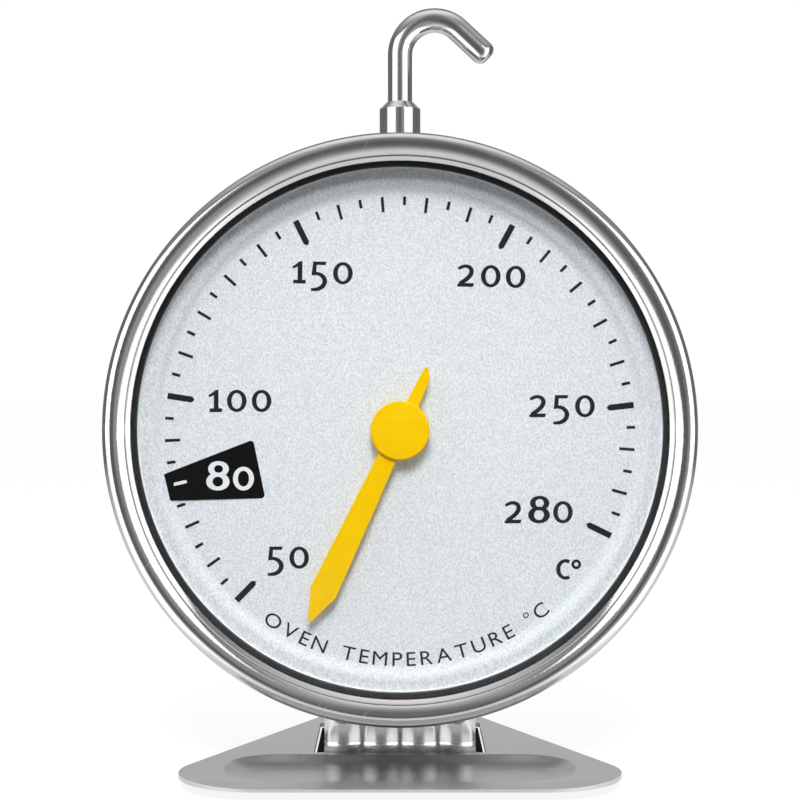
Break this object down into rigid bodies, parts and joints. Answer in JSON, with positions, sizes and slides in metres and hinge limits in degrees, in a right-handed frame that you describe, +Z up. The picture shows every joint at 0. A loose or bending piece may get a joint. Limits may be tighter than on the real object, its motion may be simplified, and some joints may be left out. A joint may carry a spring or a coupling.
{
  "type": "oven thermometer",
  "caption": "Round dial oven thermometer with a turning wire hook on top, a stamped sheet stand below and a yellow pointer turned by a bimetal coil.",
  "frame": {"origin": "on the floor under the middle of the part's footprint", "axes": "+Z up, the dial faces -Y, +X to the reader's right"},
  "size_m": [0.06, 0.041, 0.0783],
  "materials": {
    "bezel_steel": "polished stainless steel with fine handling scratches",
    "case_steel": "drawn stainless steel, satin",
    "stand_steel": "stamped stainless sheet, satin, with polished flutes",
    "hook_steel": "bright drawn stainless wire",
    "glass": "clear flat heat-resistant glass",
    "black_rubber": "black heat-resistant ring, semi-matt",
    "spacer_steel": "bright turned ring",
    "dial_silver": "silver metallic lacquer with fine sparkle, printed in black",
    "pointer_yellow": "yellow enamel, satin",
    "movement_brass": "turned brass",
    "bimetal": "rolled bimetal strip, plain",
    "movement_steel": "zinc-plated steel, plain"
  },
  "bodies": {
    "case": {"bezel_ring": "bezel_steel", "glass_lens": "glass", "lens_gasket": "black_rubber", "dial_spacer_ring": "spacer_steel", "dial_plate": "dial_silver", "case_cup": "case_steel", "spindle_front_bush": "movement_brass", "spindle_rear_bush": "movement_brass", "bimetal_coil": "bimetal", "coil_anchor_post": "movement_steel", "movement_bridge": "movement_steel", "bridge_pillars": "movement_brass", "bridge_screws": "movement_steel", "hook_ferrule": "hook_steel", "stand_plate": "stand_steel"},
    "pointer": {"pointer_blade": "pointer_yellow", "pointer_hub_cap": "pointer_yellow", "pointer_spindle": "movement_steel", "coil_collet": "movement_brass"},
    "hook": {"hook_wire": "hook_steel", "hook_washer": "movement_steel"}
  },
  "joints": [
    {"name": "pointer_turn", "type": "hinge", "parent": "case", "child": "pointer", "pos_m": [0, -0.0055, 0.035], "axis": [0, 1, 0], "range_deg": [-19.6, 270.7], "stiffness_Nm_per_rad": 0.0005, "deforming": ["bimetal_coil"]},
    {"name": "hook_swivel", "type": "hinge", "parent": "case", "child": "hook", "pos_m": [0, -0.00325, 0.066], "axis": [0, 0, 1], "continuous": true}
  ]
}
